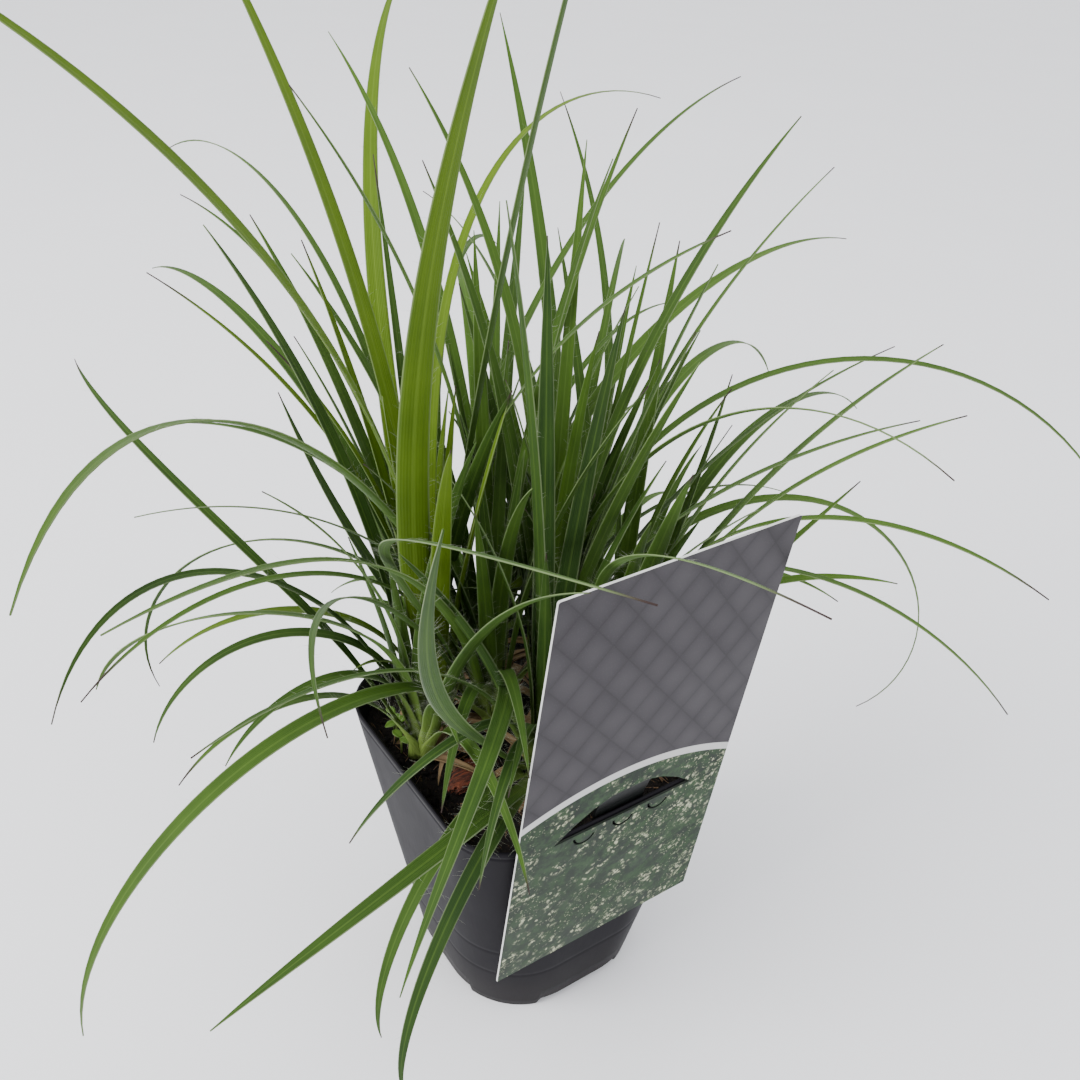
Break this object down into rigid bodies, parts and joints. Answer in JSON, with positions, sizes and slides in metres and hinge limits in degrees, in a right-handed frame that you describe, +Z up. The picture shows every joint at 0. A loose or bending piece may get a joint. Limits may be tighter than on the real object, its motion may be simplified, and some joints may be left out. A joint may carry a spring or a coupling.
{
  "type": "potted snowy woodrush",
  "caption": "Clump of grassy, arching leafy shoots in a tapered rounded-square nursery pot of compost, with a flat hanging label on the rim.",
  "frame": {"origin": "middle of the pot's underside, on its middle pad, at the plane of its feet", "axes": "+Z up; the pot's sides lie along X and Y, and the label's printed face looks along -Y"},
  "size_m": [0.3168, 0.3456, 0.3585],
  "materials": {
    "pot": "anthracite semi-gloss thermoformed plastic",
    "compost": "dark moist crumbly peat compost",
    "bark": "rough reddish-brown bark",
    "label": "matt printed plastic sheet, grey over green",
    "leaf": "mid to dark green leaf with a soft sheen and white hairs on its margins",
    "lime_leaf": "young lime-green leaf with a soft sheen"
  },
  "bodies": {
    "root": {"pot": "pot", "compost": "compost", "bark_chip": "bark", "label": "label", "shoot_lime": "lime_leaf", "shoot_left": "leaf", "shoot_heart": "leaf", "shoot_front": "leaf", "shoot_centre": "leaf", "shoot_right": "leaf", "shoot_back": "leaf", "shoot_back_right": "leaf", "shoot_back_left": "leaf"}
  },
  "joints": []
}
